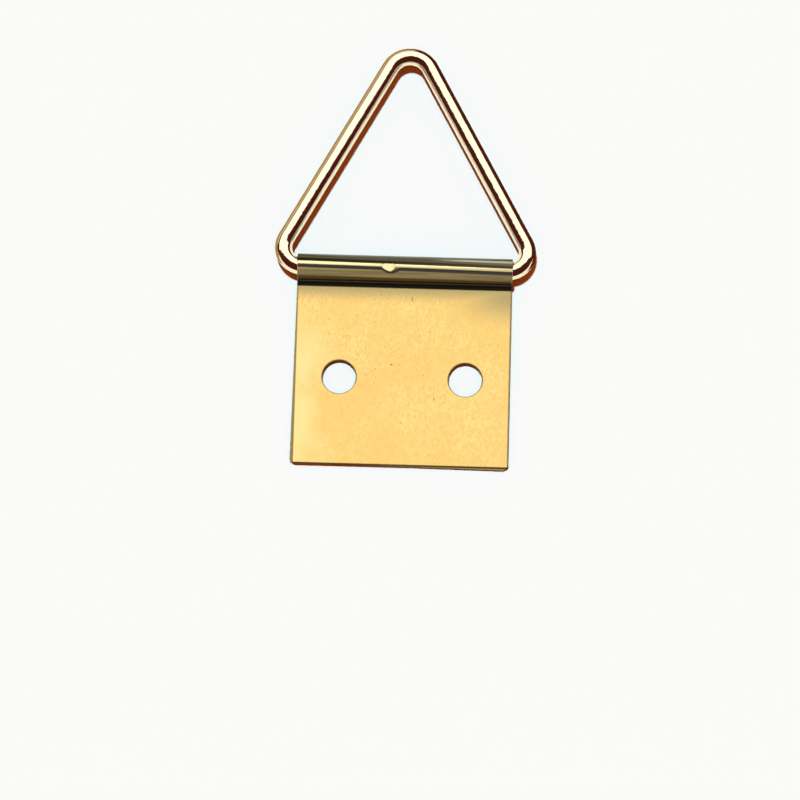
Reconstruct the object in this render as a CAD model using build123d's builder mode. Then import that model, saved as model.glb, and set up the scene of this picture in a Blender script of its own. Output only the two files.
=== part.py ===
from build123d import *
import math
import os

# Picture eyelet: a strap of thin plated sheet, folded double round the base bar of a
# triangular ring of wire, and fastened to the back of a picture frame through two holes.
# It lies on its back. Z = 0 is the face that seats on the frame, +Y points to the top of
# the ring, X runs along the barrel, and the origin is midway between the two holes.
# All sizes are in millimetres and degrees.

# Strap
strap_width = 20.0
sheet = 0.25
flap_gap = 0.05
holes_to_barrel = 10.2
holes_to_cut = 8.15
crease_radius = 0.25
blank_corner = 0.3
edge_rollover = 0.08

# Back flap, which was folded a little out of line with the front one
fold_lead = 0.5
fold_skew = 0.66
back_flap_longer = 0.06

# Fixing holes, punched from the front through both flaps
fixing_hole = 3.1
fixing_spacing = 11.7
punch_rollover = 0.1

# Dent in the barrel, over the place where the ends of the wire meet
dent_x = -1.33
dent_depth = 0.12
dent_left_run = 0.92
dent_right_run = 0.43
dent_length = 1.2
dent_nose_radius = 0.8

# Ring
wire = 1.6
running_clearance = 0.15
mouth_inset = 0.45
apex_angle = 58.4
apex_radius = 2.15
corner_radius = 1.8
wire_end_gap = 0.3
wire_end_chamfer = 0.1

# The barrel is a running fit on the wire, and stands on the front of a flat back flap.
barrel_bore = wire / 2 + running_clearance
barrel_outside = barrel_bore + sheet
barrel_z = sheet + barrel_bore
front_face_z = 2 * sheet + flap_gap

# The crease turns the sheet back from the barrel into the front flap, tangent to both.
crease_z = front_face_z + crease_radius
crease_reach = barrel_outside + crease_radius
crease_tilt = math.degrees(math.asin((barrel_z - crease_z) / crease_reach))
crease_y = holes_to_barrel - crease_reach * math.cos(math.radians(crease_tilt))

# The back flap is out of line from a short lead behind the barrel on, where it turns on its
# middle, and its cut edge stays square to its sides.
lead_y = holes_to_barrel - fold_lead
back_flap_length = lead_y + holes_to_cut + back_flap_longer
down_back_flap = Vector(0, -1).rotate(Axis.Z, -fold_skew)
cut_middle = Vector(0, lead_y) + down_back_flap * back_flap_length
half_cut = down_back_flap.rotate(Axis.Z, 90) * (strap_width / 2)

# The base bar is straight through the barrel, and its corners start just inside the mouths.
half_corner = math.radians(90 - apex_angle / 2) / 2
corner_setback = corner_radius / math.tan(half_corner)
half_base = strap_width / 2 - mouth_inset + corner_setback
ring_rise = half_base / math.tan(math.radians(apex_angle / 2))

# Back flap of the strap, out of line enough for its cut edge and one side to show in front
with BuildPart() as back_flap:
    with BuildSketch(Plane.XY) as back_flap_blank:
        with BuildLine() as back_flap_outline:
            Polyline(
                (-strap_width / 2, lead_y),
                cut_middle - half_cut,
                cut_middle + half_cut,
                (strap_width / 2, lead_y),
                close=True,
            )
        make_face()
        fillet(back_flap_blank.vertices().sort_by(Axis.Y)[:2], radius=blank_corner)
    extrude(amount=sheet)
    back_face = back_flap.faces().filter_by(Axis.Z).sort_by(Axis.Z)[0]
    fillet(back_face.edges().sort_by(Axis.Y)[:-1], radius=edge_rollover)

# Strap, one folded sheet
with BuildPart() as strap:
    # Lead, barrel, crease and front flap, drawn along the outer skin and thickened inwards
    with BuildSketch(Plane.YZ) as fold_section:
        with BuildLine() as fold_skin:
            Line((lead_y, 0), (holes_to_barrel, 0))
            CenterArc((holes_to_barrel, barrel_z), barrel_outside, -90, 270 + crease_tilt)
            CenterArc((crease_y, crease_z), crease_radius, crease_tilt, -90 - crease_tilt)
            Line((crease_y, front_face_z), (-holes_to_cut, front_face_z))
            offset(amount=sheet, side=Side.LEFT)
        make_face()
    extrude(amount=strap_width / 2, both=True)

    # Corners of the front flap, and its edges, rolled over where the blank was sheared
    fillet(strap.edges().filter_by(Axis.Z).group_by(Axis.Y)[0], radius=blank_corner)
    front_face = strap.faces().filter_by(Axis.Z).sort_by(Axis.Z)[-1]
    fillet(front_face.edges().sort_by(Axis.Y)[:-1], radius=edge_rollover)
    add(back_flap.part)

    # Dent, pressed in from the front: the bore bulges in by as much as the skin goes down
    dent_surfaces = {Mode.ADD: barrel_z + barrel_bore, Mode.SUBTRACT: barrel_z + barrel_outside}
    for change, surface_z in dent_surfaces.items():
        with BuildSketch(Plane.XZ.offset(-holes_to_barrel)) as dent_section:
            with BuildLine() as dent_outline:
                Polyline(
                    (dent_x - dent_left_run, surface_z),
                    (dent_x, surface_z - dent_depth),
                    (dent_x + dent_right_run, surface_z),
                    close=True,
                )
            make_face()
            fillet(dent_section.vertices().sort_by(Axis.Y)[0], radius=dent_nose_radius)
        extrude(amount=dent_length / 2, both=True, mode=change)

    # Fixing holes, with the rims drawn down where the punch went in
    with GridLocations(fixing_spacing, 1, 2, 1):
        Hole(radius=fixing_hole / 2)
    front_rims = strap.faces().filter_by(Axis.Z).sort_by(Axis.Z)[-1].inner_wires()
    fillet(front_rims.edges(), radius=punch_rollover)

# Ring, one bent wire, whose ends meet under the dent
with BuildPart() as triangle_ring:
    with BuildLine(Plane.XY.offset(barrel_z)) as wire_path:
        FilletPolyline(
            (dent_x + wire_end_gap / 2, holes_to_barrel),
            (half_base, holes_to_barrel),
            (0, holes_to_barrel + ring_rise),
            (-half_base, holes_to_barrel),
            (dent_x - wire_end_gap / 2, holes_to_barrel),
            radius=(corner_radius, apex_radius, corner_radius),
        )
    with BuildSketch(Plane(origin=wire_path.line @ 0, z_dir=wire_path.line % 0)) as wire_section:
        Circle(wire / 2)
    sweep()
    chamfer(triangle_ring.faces().filter_by(GeomType.PLANE).edges(), length=wire_end_chamfer)

strap.part.label = "strap"
triangle_ring.part.label = "triangle_ring"

os.makedirs("parts", exist_ok=True)
export_step(strap.part, "parts/strap.step")
export_step(triangle_ring.part, "parts/triangle_ring.step")
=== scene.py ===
import math

import bmesh
import bpy
from mathutils import Euler, Matrix, Vector


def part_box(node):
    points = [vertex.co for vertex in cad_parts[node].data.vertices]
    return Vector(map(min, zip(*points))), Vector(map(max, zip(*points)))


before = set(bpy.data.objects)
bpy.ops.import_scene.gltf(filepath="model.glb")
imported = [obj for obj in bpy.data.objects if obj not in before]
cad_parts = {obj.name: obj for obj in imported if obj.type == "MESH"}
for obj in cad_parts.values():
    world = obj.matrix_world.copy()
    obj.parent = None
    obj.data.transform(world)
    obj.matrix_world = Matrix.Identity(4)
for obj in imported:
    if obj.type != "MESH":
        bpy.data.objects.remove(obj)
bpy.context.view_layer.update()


# Strap: one strip of thin steel sheet, brass plated, folded double round the wire. The flaps
# are pale and satin from the rolling mill. The barrel and the crease are duller and darker,
# with streaks drawn along them where the folding tool rubbed the plating, and with painted
# bands of light and shade round the barrel, a painted highlight in its dent and painted shade
# in the crease.
MM = 0.001
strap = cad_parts["strap"]
strap_side, strap_top, strap_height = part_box("strap")[1]
sheet_thickness = 0.25 * MM
barrel_radius = strap_height / 2
barrel_y = strap_top - barrel_radius
crease_y = barrel_y - 1.16 * barrel_radius
flap_front = 0.55 * MM
flap_end = -8.2 * MM
fixing_x = 5.85 * MM
fixing_radius = 1.55 * MM
dent_x = -1.33 * MM


def linear(hex_colour):
    """An sRGB hex colour as linear red, green, blue and alpha"""
    channels = [int(hex_colour[i:i + 2], 16) / 255 for i in (0, 2, 4)]
    return [c / 12.92 if c <= 0.04045 else ((c + 0.055) / 1.055) ** 2.4 for c in channels] + [1.0]


def add_node(tree, kind, inputs, output=None, **settings):
    """Adds a node with its settings and links, and returns its output.

    Each input is given a value, or the output of another node. Sockets go by name, or by
    number on a node where several have one name.
    """
    node = tree.nodes.new("ShaderNode" + kind)
    for name, value in settings.items():
        setattr(node, name, value)
    sockets = [socket for socket in node.inputs if socket.enabled]
    for key, value in inputs.items():
        socket = sockets[key] if isinstance(key, int) else next(s for s in sockets if s.name == key)
        if isinstance(value, bpy.types.NodeSocket):
            tree.links.new(value, socket)
        else:
            socket.default_value = value
    return next(s for s in node.outputs if s.enabled and output in (None, s.name))


# Satin brass plate over rolled sheet shows a pale warm gold with soft clouds, fine grain and
# small pits. The real grain is finer than a pixel, so it is drawn as coarse as it needs to show.
smooth = {"interpolation_type": "SMOOTHSTEP"}
colours = {"data_type": "RGBA"}
cloud_size = 5 * MM
grain_size = 0.22 * MM
pit_spacing = 0.5 * MM
pitted_area = 1.3 * MM
sheet_material = bpy.data.materials.new("satin_brass_plated_sheet")
sheet_material.use_nodes = True
tree = sheet_material.node_tree
shader = tree.nodes["Principled BSDF"]
place = add_node(tree, "TexCoord", {}, output="Object")
axes = add_node(tree, "SeparateXYZ", {"Vector": place}).node.outputs
across = axes["X"]
along = axes["Y"]
height = axes["Z"]
clouds = add_node(tree, "TexNoise", {"Vector": place, "Scale": 1 / cloud_size, "Detail": 2.0})
cloudy = add_node(tree, "MapRange", {"Value": clouds, "From Min": 0.3, "From Max": 0.7}, **smooth)
gold = add_node(tree, "Mix", {"Factor": cloudy, "A": linear("DFBD70"), "B": linear("E3C67E")}, **colours)
rolled = add_node(tree, "Mapping", {"Vector": place, "Scale": (1.0, 0.6, 1.0)})
grain = add_node(tree, "TexNoise", {"Vector": rolled, "Scale": 1 / grain_size, "Detail": 2.0})
grainy = add_node(tree, "MapRange", {"Value": grain, "From Min": 0.35, "From Max": 0.65}, **smooth)
gold = add_node(tree, "Mix", {"Factor": grainy, "A": gold, "B": linear("DDB96B")}, **colours)

# Paler along the left side, patchily, and fading out towards the barrel
pale = add_node(tree, "MapRange", {"Value": across, "From Min": -5.5 * MM, "From Max": -9 * MM}, **smooth)
patchy = add_node(tree, "MapRange", {"Value": clouds, "From Min": 0.3, "From Max": 0.55}, **smooth)
off_barrel = add_node(tree, "MapRange", {"Value": along, "From Min": 7 * MM, "From Max": 1 * MM}, **smooth)
for limit in (patchy, off_barrel):
    pale = add_node(tree, "Math", {0: pale, 1: limit}, operation="MULTIPLY")
gold = add_node(tree, "Mix", {"Factor": pale, "A": gold, "B": linear("E5CD88")}, **colours)

# Pits, in some areas more than in others
pits = add_node(tree, "TexVoronoi", {"Vector": place, "Scale": 1 / pit_spacing})
pits = add_node(tree, "MapRange", {"Value": pits, "From Min": 0.16, "From Max": 0.08}, **smooth)
pitted = add_node(tree, "TexNoise", {"Vector": place, "Scale": 1 / pitted_area})
pitted = add_node(tree, "MapRange", {"Value": pitted, "From Min": 0.45, "From Max": 0.6}, **smooth)
pits = add_node(tree, "Math", {0: pits, 1: pitted}, operation="MULTIPLY")
gold = add_node(tree, "Mix", {"Factor": pits, "A": gold, "B": linear("BC9C56")}, **colours)

# Three small dark marks on the front: where each lies across and along the strap, and its half
# width and half length, all in millimetres
marks = [(0.77, 7.5, 0.07, 0.35), (-1.03, 1.27, 0.14, 0.11), (2.99, -1.85, 0.07, 0.22)]
mark_depth = 0.2
for mark_x, mark_y, half_width, half_length in marks:
    from_mark = add_node(tree, "Mapping", {
        "Vector": place,
        "Location": (-mark_x / half_width, -mark_y / half_length, -flap_front / (mark_depth * MM)),
        "Scale": (1 / (half_width * MM), 1 / (half_length * MM), 1 / (mark_depth * MM)),
    })
    from_mark = add_node(tree, "VectorMath", {0: from_mark}, operation="LENGTH")
    marked = add_node(tree, "MapRange", {"Value": from_mark, "From Min": 1.0, "From Max": 0.5}, **smooth)
    gold = add_node(tree, "Mix", {"Factor": marked, "A": gold, "B": linear("9C7F45")}, **colours)

# Painted shade: a shade darker towards the barrel and greyer close to it; also greyer in the flap's top right
# corner
painted_shade = add_node(tree, "MapRange", {"Value": along, "From Min": -9 * MM, "From Max": 9 * MM}, **smooth)
gold = add_node(tree, "Mix", {"Factor": painted_shade, "A": gold, "B": linear("F6F6F6")},
                blend_type="MULTIPLY", **colours)
crease_shade = add_node(tree, "MapRange", {
    "Value": along, "From Min": crease_y - 2.0 * MM, "From Max": crease_y - 0.2 * MM}, **smooth)
to_right = add_node(tree, "MapRange", {"Value": across, "From Min": 3 * MM, "From Max": 10 * MM}, **smooth)
to_barrel = add_node(tree, "MapRange", {"Value": along, "From Min": 4.5 * MM, "From Max": 8 * MM}, **smooth)
grey_corner = add_node(tree, "Math", {0: to_right, 1: to_barrel}, operation="MULTIPLY")
greyed = add_node(tree, "Math", {0: crease_shade, 1: grey_corner}, operation="MAXIMUM")
gold = add_node(tree, "Mix", {"Factor": greyed, "A": gold, "B": linear("9C8E5F")}, **colours)

# Sheared edges of the blank: bare of plating and dull, but not on the flat back
from_middle = add_node(tree, "Math", {0: across}, operation="ABSOLUTE")
off_back = add_node(tree, "MapRange", {"Value": height, "From Min": 0.0, "From Max": 0.06 * MM}, **smooth)
side_edge = add_node(tree, "MapRange", {
    "Value": from_middle, "From Min": strap_side - 0.16 * MM, "From Max": strap_side - 0.1 * MM}, **smooth)
end_edge = add_node(tree, "MapRange", {
    "Value": along, "From Min": flap_end + 0.1 * MM, "From Max": flap_end + 0.04 * MM}, **smooth)
sheared = add_node(tree, "Math", {0: side_edge, 1: end_edge}, operation="MAXIMUM")
sheared = add_node(tree, "Math", {0: sheared, 1: off_back}, operation="MULTIPLY")
gold = add_node(tree, "Mix", {"Factor": sheared, "A": gold, "B": linear("85784C")}, **colours)

# The rims of the holes, drawn down by the punch, are dull and painted darker as shade round the
# holes, and the walls of the holes and the cut end of the front flap are painted darkest, as shade
to_hole = add_node(tree, "Math", {0: from_middle, 1: fixing_x}, operation="SUBTRACT")
to_hole = add_node(tree, "CombineXYZ", {"X": to_hole, "Y": along})
to_hole = add_node(tree, "VectorMath", {0: to_hole}, operation="LENGTH")
rim_dullness_and_shade = add_node(tree, "MapRange", {
    "Value": to_hole, "From Min": fixing_radius + 0.13 * MM, "From Max": fixing_radius + 0.08 * MM}, **smooth)
gold = add_node(tree, "Mix", {"Factor": rim_dullness_and_shade, "A": gold, "B": linear("7A6A40")}, **colours)
punched = add_node(tree, "MapRange", {
    "Value": to_hole, "From Min": fixing_radius + 0.05 * MM, "From Max": fixing_radius + 0.01 * MM}, **smooth)
at_end = add_node(tree, "MapRange", {
    "Value": along, "From Min": flap_end + 0.18 * MM, "From Max": flap_end + 0.12 * MM}, **smooth)
above_back = add_node(tree, "MapRange", {
    "Value": height, "From Min": sheet_thickness + 0.02 * MM,
    "From Max": sheet_thickness + 0.04 * MM}, **smooth)
cut_end = add_node(tree, "Math", {0: at_end, 1: above_back}, operation="MULTIPLY")
wall_and_end_shade = add_node(tree, "Math", {0: punched, 1: cut_end}, operation="MAXIMUM")
wall_and_end_shade = add_node(tree, "Math", {0: wall_and_end_shade, 1: off_back}, operation="MULTIPLY")
gold = add_node(tree, "Mix", {"Factor": wall_and_end_shade, "A": gold, "B": linear("443A1E")}, **colours)

# Streaks drawn out along the barrel, under painted bands of light and shade. The bands go by
# their angle from the crown, with minus to the front, and they lean: 0.7 degrees further to the
# front for each millimetre to the right.
streak_width = 0.25 * MM
lean = math.radians(0.7) / MM
on_barrel = add_node(tree, "MapRange", {
    "Value": along, "From Min": crease_y - 0.38 * MM, "From Max": crease_y - 0.26 * MM}, **smooth)
round_y = add_node(tree, "Math", {0: along, 1: barrel_y}, operation="SUBTRACT")
round_z = add_node(tree, "Math", {0: height, 1: barrel_radius}, operation="SUBTRACT")
angle = add_node(tree, "Math", {0: round_y, 1: round_z}, operation="ARCTAN2")
leaning = add_node(tree, "Math", {0: across, 1: lean, 2: angle}, operation="MULTIPLY_ADD")
drawn_out = add_node(tree, "Mapping", {"Vector": place, "Scale": (0.04, 1.0, 1.0)})
streaks = add_node(tree, "TexNoise", {"Vector": drawn_out, "Scale": 1 / streak_width, "Detail": 3.0})
streaky = add_node(tree, "MapRange", {"Value": streaks, "From Min": 0.3, "From Max": 0.7}, **smooth)
streaks_and_painted_light = add_node(tree, "Mix", {"Factor": streaky, "A": linear("73663A"), "B": linear("8F8050")}, **colours)

# The painted bands: painted shade low on the front, a painted highlight on the crown that is
# paler to the right, a painted dark reflection nearly black behind the crown, and a dull painted
# reflection on the back. Each is given by the angles, in degrees, at which it begins and is full,
# and by its colour.
rightwards = add_node(tree, "MapRange", {"Value": across, "From Min": -4 * MM, "From Max": 8 * MM}, **smooth)
crown_highlight = add_node(tree, "Mix", {"Factor": rightwards, "A": linear("AC9F70"), "B": linear("C4B788")}, **colours)
painted_bands = [(-53, -60, linear("544A22")), (-7, -2, crown_highlight), (7, 11, linear("1E190B")), (22, 30, linear("544E34"))]
for begins, full, band_colour in painted_bands:
    band = add_node(tree, "MapRange", {
        "Value": leaning, "From Min": math.radians(begins), "From Max": math.radians(full)}, **smooth)
    streaks_and_painted_light = add_node(tree, "Mix", {"Factor": band, "A": streaks_and_painted_light, "B": band_colour}, **colours)

# A painted dark reflection line 12 degrees in front of the crown, which dips by 14 degrees more round the
# dent
from_dent = add_node(tree, "Math", {0: across, 1: dent_x}, operation="SUBTRACT")
from_dent = add_node(tree, "Math", {0: from_dent}, operation="ABSOLUTE")
dip = add_node(tree, "MapRange", {"Value": from_dent, "From Min": 1.0 * MM, "From Max": 0.1 * MM}, **smooth)
from_dark_line = add_node(tree, "Math", {0: dip, 1: math.radians(14), 2: leaning}, operation="MULTIPLY_ADD")
from_dark_line = add_node(tree, "Math", {0: from_dark_line, 1: math.radians(12)}, operation="ADD")
from_dark_line = add_node(tree, "Math", {0: from_dark_line}, operation="ABSOLUTE")
dark_reflection_line = add_node(tree, "MapRange", {
    "Value": from_dark_line, "From Min": math.radians(9.5), "From Max": math.radians(6)}, **smooth)
streaks_and_painted_light = add_node(tree, "Mix", {"Factor": dark_reflection_line, "A": streaks_and_painted_light, "B": linear("241E0E")}, **colours)

# A painted pale reflection line on the back, at 43 degrees, only on the right half
from_line = add_node(tree, "Math", {0: leaning, 1: math.radians(43)}, operation="SUBTRACT")
from_line = add_node(tree, "Math", {0: from_line}, operation="ABSOLUTE")
pale_reflection_line = add_node(tree, "MapRange", {
    "Value": from_line, "From Min": math.radians(9), "From Max": math.radians(4)}, **smooth)
right_half = add_node(tree, "MapRange", {"Value": across, "From Min": 2 * MM, "From Max": 6 * MM}, **smooth)
pale_reflection_line = add_node(tree, "Math", {0: pale_reflection_line, 1: right_half}, operation="MULTIPLY")
streaks_and_painted_light = add_node(tree, "Mix", {"Factor": pale_reflection_line, "A": streaks_and_painted_light, "B": linear("C2BFA6")}, **colours)

# Nearly black in the crease, where the fold shades itself
in_crease = add_node(tree, "MapRange", {
    "Value": along, "From Min": crease_y + 0.26 * MM, "From Max": crease_y + 0.12 * MM}, **smooth)
streaks_and_painted_light = add_node(tree, "Mix", {"Factor": in_crease, "A": streaks_and_painted_light, "B": linear("15120D")}, **colours)

# The dent, painted pale as a highlight: the outer skin where it lies inside the barrel's radius
reach = add_node(tree, "CombineXYZ", {"Y": round_y, "Z": round_z})
reach = add_node(tree, "VectorMath", {0: reach}, operation="LENGTH")
dent_highlight = add_node(tree, "MapRange", {
    "Value": reach, "From Min": barrel_radius - 0.004 * MM, "From Max": barrel_radius - 0.03 * MM}, **smooth)
outer_skin = add_node(tree, "MapRange", {
    "Value": reach, "From Min": barrel_radius - 0.2 * MM, "From Max": barrel_radius - 0.18 * MM}, **smooth)
before_crown = add_node(tree, "MapRange", {
    "Value": round_y, "From Min": 0.3 * MM, "From Max": 0.2 * MM}, **smooth)
high_up = add_node(tree, "MapRange", {
    "Value": round_z, "From Min": 0.5 * barrel_radius, "From Max": 0.6 * barrel_radius}, **smooth)
for limit in (outer_skin, before_crown, high_up):
    dent_highlight = add_node(tree, "Math", {0: dent_highlight, 1: limit}, operation="MULTIPLY")
streaks_and_painted_light = add_node(tree, "Mix", {"Factor": dent_highlight, "A": streaks_and_painted_light, "B": linear("D6C590")}, **colours)
colour = add_node(tree, "Mix", {"Factor": on_barrel, "A": gold, "B": streaks_and_painted_light}, **colours)
tree.links.new(colour, shader.inputs["Base Color"])

# The dark band behind the crown and the crease mirror like bare metal, and the rest is dulled
band_begins = add_node(tree, "MapRange", {
    "Value": leaning, "From Min": math.radians(7), "From Max": math.radians(11)}, **smooth)
band_ends = add_node(tree, "MapRange", {
    "Value": leaning, "From Min": math.radians(28), "From Max": math.radians(20)}, **smooth)
bare = add_node(tree, "Math", {0: band_begins, 1: band_ends}, operation="MULTIPLY")
bare = add_node(tree, "Math", {0: bare, 1: in_crease}, operation="MAXIMUM")
metallic = add_node(tree, "MapRange", {"Value": bare, "To Min": 0.4, "To Max": 1.0})
tree.links.new(metallic, shader.inputs["Metallic"])
roughness = add_node(tree, "MapRange", {"Value": on_barrel, "To Min": 0.14, "To Max": 0.24})
tree.links.new(roughness, shader.inputs["Roughness"])
for slot in strap.material_slots:
    slot.material = sheet_material


# Ring: one bent wire of steel, brass plated and polished, whose base bar turns in the barrel.
# It mirrors the pale floor and the lamps in bright lines and the room in dark ones. The drawn
# wire isn't quite even, so the lines waver a little.
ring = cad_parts["triangle_ring"]
wave_length = 0.8 * MM
wave_height = 0.02 * MM
wire_material = bpy.data.materials.new("polished_brass_plated_wire")
wire_material.use_nodes = True
tree = wire_material.node_tree
shader = tree.nodes["Principled BSDF"]
shader.inputs["Base Color"].default_value = linear("FCEBC8")
shader.inputs["Metallic"].default_value = 1.0
shader.inputs["Roughness"].default_value = 0.08
place = add_node(tree, "TexCoord", {}, output="Object")
waves = add_node(tree, "TexNoise", {"Vector": place, "Scale": 1 / wave_length, "Detail": 2.0})
wavy = add_node(tree, "Bump", {"Height": waves, "Strength": 1.0, "Distance": wave_height})
tree.links.new(wavy, shader.inputs["Normal"])
for slot in ring.material_slots:
    slot.material = wire_material


# Floor: a plain sheet of white card that the eyelet lies on, matt, with the shadow on it. The
# wire mirrors it white, but tan and brown beyond the ring's outline, which draws a thin line
# along its outer side. Light that the card throws back is a dull brown, and warms the shadows.
floor_half = 1.5
leg_square_x = 0.873
leg_square_y = 0.488
ring_outline = 16 * MM
floor_shape = bmesh.new()
bmesh.ops.create_grid(floor_shape, x_segments=1, y_segments=1, size=floor_half)
floor_mesh = bpy.data.meshes.new("floor")
floor_shape.to_mesh(floor_mesh)
floor_shape.free()
floor = bpy.data.objects.new("floor", floor_mesh)
bpy.context.scene.collection.objects.link(floor)
card = bpy.data.materials.new("white_card")
card.use_nodes = True
tree = card.node_tree
shader = tree.nodes["Principled BSDF"]
place = add_node(tree, "TexCoord", {}, output="Object")
axes = add_node(tree, "SeparateXYZ", {"Vector": place}).node.outputs

# The distance from the origin, measured square to the ring's legs
sideways = add_node(tree, "Math", {0: axes["X"]}, operation="ABSOLUTE")
sideways = add_node(tree, "Math", {0: sideways, 1: leg_square_x}, operation="MULTIPLY")
outwards = add_node(tree, "Math", {0: axes["Y"], 1: leg_square_y, 2: sideways}, operation="MULTIPLY_ADD")
outside = add_node(tree, "MapRange", {
    "Value": outwards, "From Min": ring_outline - 0.1 * MM, "From Max": ring_outline + 0.1 * MM}, **smooth)
beside_ring = add_node(tree, "MapRange", {
    "Value": axes["Y"], "From Min": 8 * MM, "From Max": 9 * MM}, **smooth)
outside = add_node(tree, "Math", {0: outside, 1: beside_ring}, operation="MULTIPLY")
on_right = add_node(tree, "MapRange", {"Value": axes["X"], "From Min": -4 * MM, "From Max": 4 * MM}, **smooth)
edge_line = add_node(tree, "Mix", {
    "Factor": on_right, "A": linear("AD8E50"), "B": linear("4B1F0D")}, **colours)
mirrored = add_node(tree, "Mix", {"Factor": outside, "A": linear("FFFFFF"), "B": edge_line}, **colours)

# A mirror image is seen by a glossy ray that hasn't yet met anything dull
rays = add_node(tree, "LightPath", {}).node.outputs
in_mirror = add_node(tree, "Math", {0: rays["Diffuse Depth"], 1: 1.0}, operation="LESS_THAN")
in_mirror = add_node(tree, "Math", {0: rays["Is Glossy Ray"], 1: in_mirror}, operation="MULTIPLY")
seen = add_node(tree, "Mix", {"Factor": in_mirror, "A": linear("895027"), "B": mirrored}, **colours)
seen = add_node(tree, "Mix", {"Factor": rays["Is Camera Ray"], "A": seen, "B": linear("F9F9F9")}, **colours)
tree.links.new(seen, shader.inputs["Base Color"])
shader.inputs["Roughness"].default_value = 1.0
shader.inputs["Specular IOR Level"].default_value = 0.0
floor_mesh.materials.append(card)


# Lamps: a wide softbox over and beyond the ring's top lights both pieces. Five that only the
# strap sees stand over it and on all its sides, so that it is pale from all round. A hard lamp
# beyond the ring, high up and a little to the left, throws the short crisp shadow.
def softbox(name, centre, width, depth, brightness, turn=(0.0, 0.0, 0.0)):
    """A rectangular lamp that faces down and is then turned, seen only in the metal's gloss"""
    lamp = bpy.data.lights.new(name, "AREA")
    lamp.shape = "RECTANGLE"
    lamp.size = width
    lamp.size_y = depth
    lamp.energy = brightness * math.pi * width * depth
    lamp.use_nodes = True
    tree = lamp.node_tree
    dull_bounces = add_node(tree, "LightPath", {}, output="Diffuse Depth")
    straight = add_node(tree, "Math", {0: dull_bounces, 1: 1.0}, operation="LESS_THAN")
    tree.links.new(straight, tree.nodes["Emission"].inputs["Strength"])
    holder = bpy.data.objects.new(name, lamp)
    holder.matrix_world = Matrix.Translation(centre) @ Euler(turn).to_matrix().to_4x4()
    holder.visible_diffuse = False
    bpy.context.scene.collection.objects.link(holder)
    return holder


# Each softbox is given its centre, its width and depth, its brightness and its turn
softbox("overhead_softbox", (-0.05, 0.83, 0.5), 1.65, 1.59, 1.32)
strap_lamps = [
    softbox("bright_strip", (0.0, 0.29, 0.45), 0.6, 0.3, 4.5, turn=(-0.57, 0.0, 0.0)),
    softbox("foot_softbox", (0.0, -0.6, 0.4), 1.4, 0.95, 1.0, turn=(0.9, 0.0, 0.0)),
    softbox("top_softbox", (-0.05, -0.12, 0.5), 1.65, 0.31, 0.85),
    softbox("left_softbox", (-0.8, 0.1, 0.35), 0.65, 1.4, 1.0, turn=(0.0, -1.2, 0.0)),
    softbox("right_softbox", (0.8, 0.1, 0.35), 0.65, 1.4, 1.0, turn=(0.0, 1.2, 0.0)),
]
strap_only = bpy.data.collections.new("strap_only")
strap_only.objects.link(strap)
for lamp in strap_lamps:
    lamp.light_linking.receiver_collection = strap_only

# The hard lamp is cool enough to leave the card white under the warm glow of the room
towards_hard_lamp = Vector((-0.12, 0.33, 1.0))
hard_lamp = bpy.data.lights.new("hard_lamp", "SUN")
hard_lamp.angle = math.radians(4)
hard_lamp.energy = 3.31
hard_lamp.color = (0.719, 0.963, 1.0)
hard_holder = bpy.data.objects.new("hard_lamp", hard_lamp)
hard_holder.rotation_euler = towards_hard_lamp.to_track_quat("Z", "Y").to_euler()
hard_holder.visible_glossy = False
bpy.context.scene.collection.objects.link(hard_holder)


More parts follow.
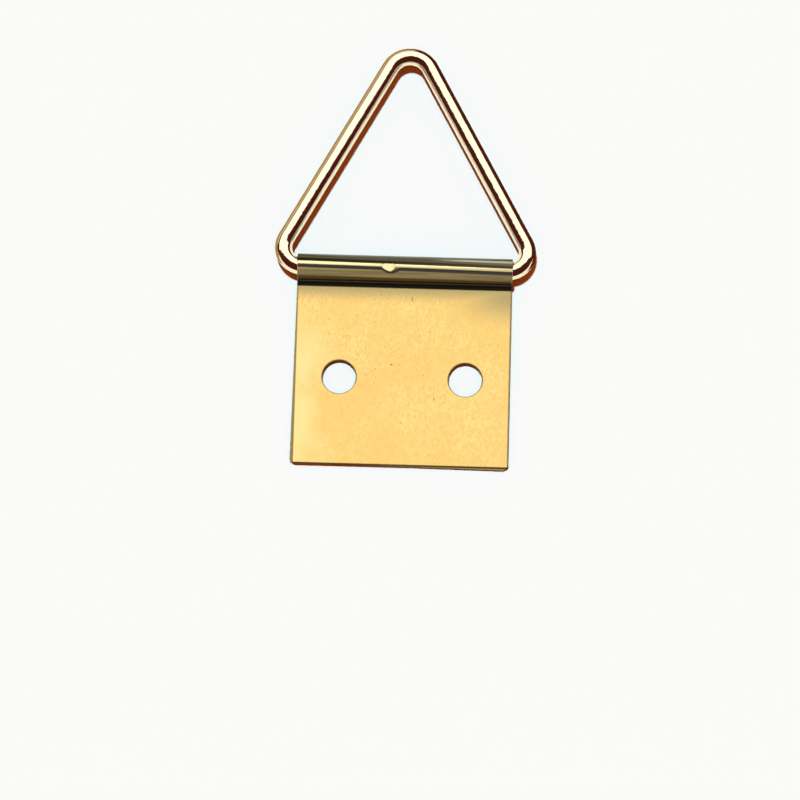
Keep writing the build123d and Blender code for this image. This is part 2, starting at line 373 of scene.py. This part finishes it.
# Room: what the metal mirrors round the floor. It is dark and warm, with a low white wall at
# the strap's foot and at the far left. The camera sees it white, and its own glow is a dim warm
# one that colours the shadows.
world = bpy.data.worlds.new("room")
world.use_nodes = True
tree = world.node_tree
direction = add_node(tree, "TexCoord", {}, output="Generated")
axes = add_node(tree, "SeparateXYZ", {"Vector": direction}).node.outputs
low = add_node(tree, "MapRange", {"Value": axes["Z"], "From Min": 0.18, "From Max": 0.1}, **smooth)
at_foot = add_node(tree, "MapRange", {"Value": axes["Y"], "From Min": -0.15, "From Max": -0.25}, **smooth)
far = add_node(tree, "MapRange", {"Value": axes["Y"], "From Min": 0.2, "From Max": 0.35}, **smooth)
on_left = add_node(tree, "MapRange", {"Value": axes["X"], "From Min": 0.2, "From Max": 0.05}, **smooth)
far_left = add_node(tree, "Math", {0: far, 1: on_left}, operation="MULTIPLY")
walls = add_node(tree, "Math", {0: at_foot, 1: far_left}, operation="ADD")
wall = add_node(tree, "Math", {0: low, 1: walls}, operation="MULTIPLY")
mirrored = add_node(tree, "Mix", {"Factor": wall, "A": linear("451D18"), "B": linear("FFFFFF")}, **colours)
rays = add_node(tree, "LightPath", {}).node.outputs
in_mirror = add_node(tree, "Math", {0: rays["Diffuse Depth"], 1: 1.0}, operation="LESS_THAN")
in_mirror = add_node(tree, "Math", {0: rays["Is Glossy Ray"], 1: in_mirror}, operation="MULTIPLY")
room = add_node(tree, "Mix", {"Factor": in_mirror, "A": linear("954214"), "B": mirrored}, **colours)
room = add_node(tree, "Mix", {"Factor": rays["Is Camera Ray"], "A": room, "B": linear("FFFFFF")}, **colours)
tree.links.new(room, tree.nodes["Background"].inputs["Color"])
bpy.context.scene.world = world
bpy.context.scene.view_settings.view_transform = "Standard"


# Camera: a long lens nearly straight above the front, a little towards the strap's foot, and
# rolled slightly, as the eyelet lies a little askew in the picture.
elevation = math.radians(81)
roll = math.radians(1.56)
distance = 300 * MM
look_at = Vector((-0.14, -2.03, 0.6)) * MM
camera_data = bpy.data.cameras.new("camera")
camera_data.lens = 145.8
camera_data.sensor_width = 36.0
camera = bpy.data.objects.new("camera", camera_data)
back = Vector((0, -math.cos(elevation), math.sin(elevation)))
right = Vector((1, 0, 0))
up = back.cross(right)
camera_right = math.cos(roll) * right + math.sin(roll) * up
camera_up = back.cross(camera_right)
facing = Matrix((camera_right, camera_up, back)).transposed().to_4x4()
camera.matrix_world = Matrix.Translation(look_at + distance * back) @ facing
bpy.context.scene.collection.objects.link(camera)
bpy.context.scene.camera = camera
